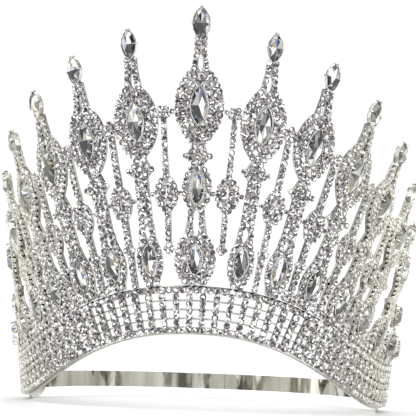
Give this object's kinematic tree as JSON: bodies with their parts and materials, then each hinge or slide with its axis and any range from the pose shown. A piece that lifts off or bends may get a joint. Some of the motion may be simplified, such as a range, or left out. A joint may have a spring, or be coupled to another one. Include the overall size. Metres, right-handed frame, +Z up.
{
  "type": "bridal tiara",
  "caption": "Tall open crown for a bride: an arched stud band, a fan of pointed spires with navette stones, and an overlapping sprung strap behind.",
  "frame": {"origin": "centre of the head opening, level with the lower corners of the band", "axes": "+Z up, front of the tiara faces -Y, +X to the right as seen from in front"},
  "size_m": [0.1616, 0.1555, 0.142],
  "materials": {
    "cast_frame": "bright rhodium-plated cast metal, small cupped seats all over the front, plain behind",
    "polished_strip": "mirror-polished plated spring strip with faint draw lines",
    "crystal": "clear faceted glass with a silvered back"
  },
  "bodies": {
    "front": {"front_band": "cast_frame", "bottom_rim": "polished_strip", "end_plate_left": "polished_strip", "end_plate_right": "polished_strip", "spire_left_6": "cast_frame", "large_stone_left_6": "crystal", "tip_stone_left_6": "crystal", "spire_left_5": "cast_frame", "large_stone_left_5": "crystal", "tip_stone_left_5": "crystal", "spire_left_4": "cast_frame", "large_stone_left_4": "crystal", "tip_stone_left_4": "crystal", "spire_left_3": "cast_frame", "large_stone_left_3": "crystal", "tip_stone_left_3": "crystal", "spire_left_2": "cast_frame", "large_stone_left_2": "crystal", "tip_stone_left_2": "crystal", "spire_left_1": "cast_frame", "large_stone_left_1": "crystal", "tip_stone_left_1": "crystal", "spire_center": "cast_frame", "large_stone_center": "crystal", "tip_stone_center": "crystal", "spire_right_1": "cast_frame", "large_stone_right_1": "crystal", "tip_stone_right_1": "crystal", "spire_right_2": "cast_frame", "large_stone_right_2": "crystal", "tip_stone_right_2": "crystal", "spire_right_3": "cast_frame", "large_stone_right_3": "crystal", "tip_stone_right_3": "crystal", "spire_right_4": "cast_frame", "large_stone_right_4": "crystal", "tip_stone_right_4": "crystal", "spire_right_5": "cast_frame", "large_stone_right_5": "crystal", "tip_stone_right_5": "crystal", "spire_right_6": "cast_frame", "large_stone_right_6": "crystal", "tip_stone_right_6": "crystal", "link_left_1": "cast_frame", "link_right_1": "cast_frame", "link_left_2": "cast_frame", "link_right_2": "cast_frame", "link_left_3": "cast_frame", "link_right_3": "cast_frame", "link_left_4": "cast_frame", "link_right_4": "cast_frame", "link_left_5": "cast_frame", "link_right_5": "cast_frame", "end_motif_left_1": "cast_frame", "end_motif_left_2": "cast_frame", "end_motif_right_1": "cast_frame", "end_motif_right_2": "cast_frame"},
    "strap_left": {"back_strap_left": "polished_strip"},
    "strap_right": {"back_strap_right": "polished_strip"}
  },
  "joints": [
    {"name": "strap_flex_right", "type": "hinge", "parent": "front", "child": "strap_right", "pos_m": [0.0645, 0.0161, 0.0051], "axis": [0, 0, -1], "range_deg": [-1.2, 3], "stiffness_Nm_per_rad": 0.3},
    {"name": "strap_flex_left", "type": "hinge", "parent": "front", "child": "strap_left", "pos_m": [-0.0645, 0.0161, 0.0051], "axis": [0, 0, 1], "range_deg": [-1.2, 3], "stiffness_Nm_per_rad": 0.3}
  ],
  "couplings": [
    {"joint": "strap_flex_left", "follows": "strap_flex_right", "ratio": 1}
  ]
}
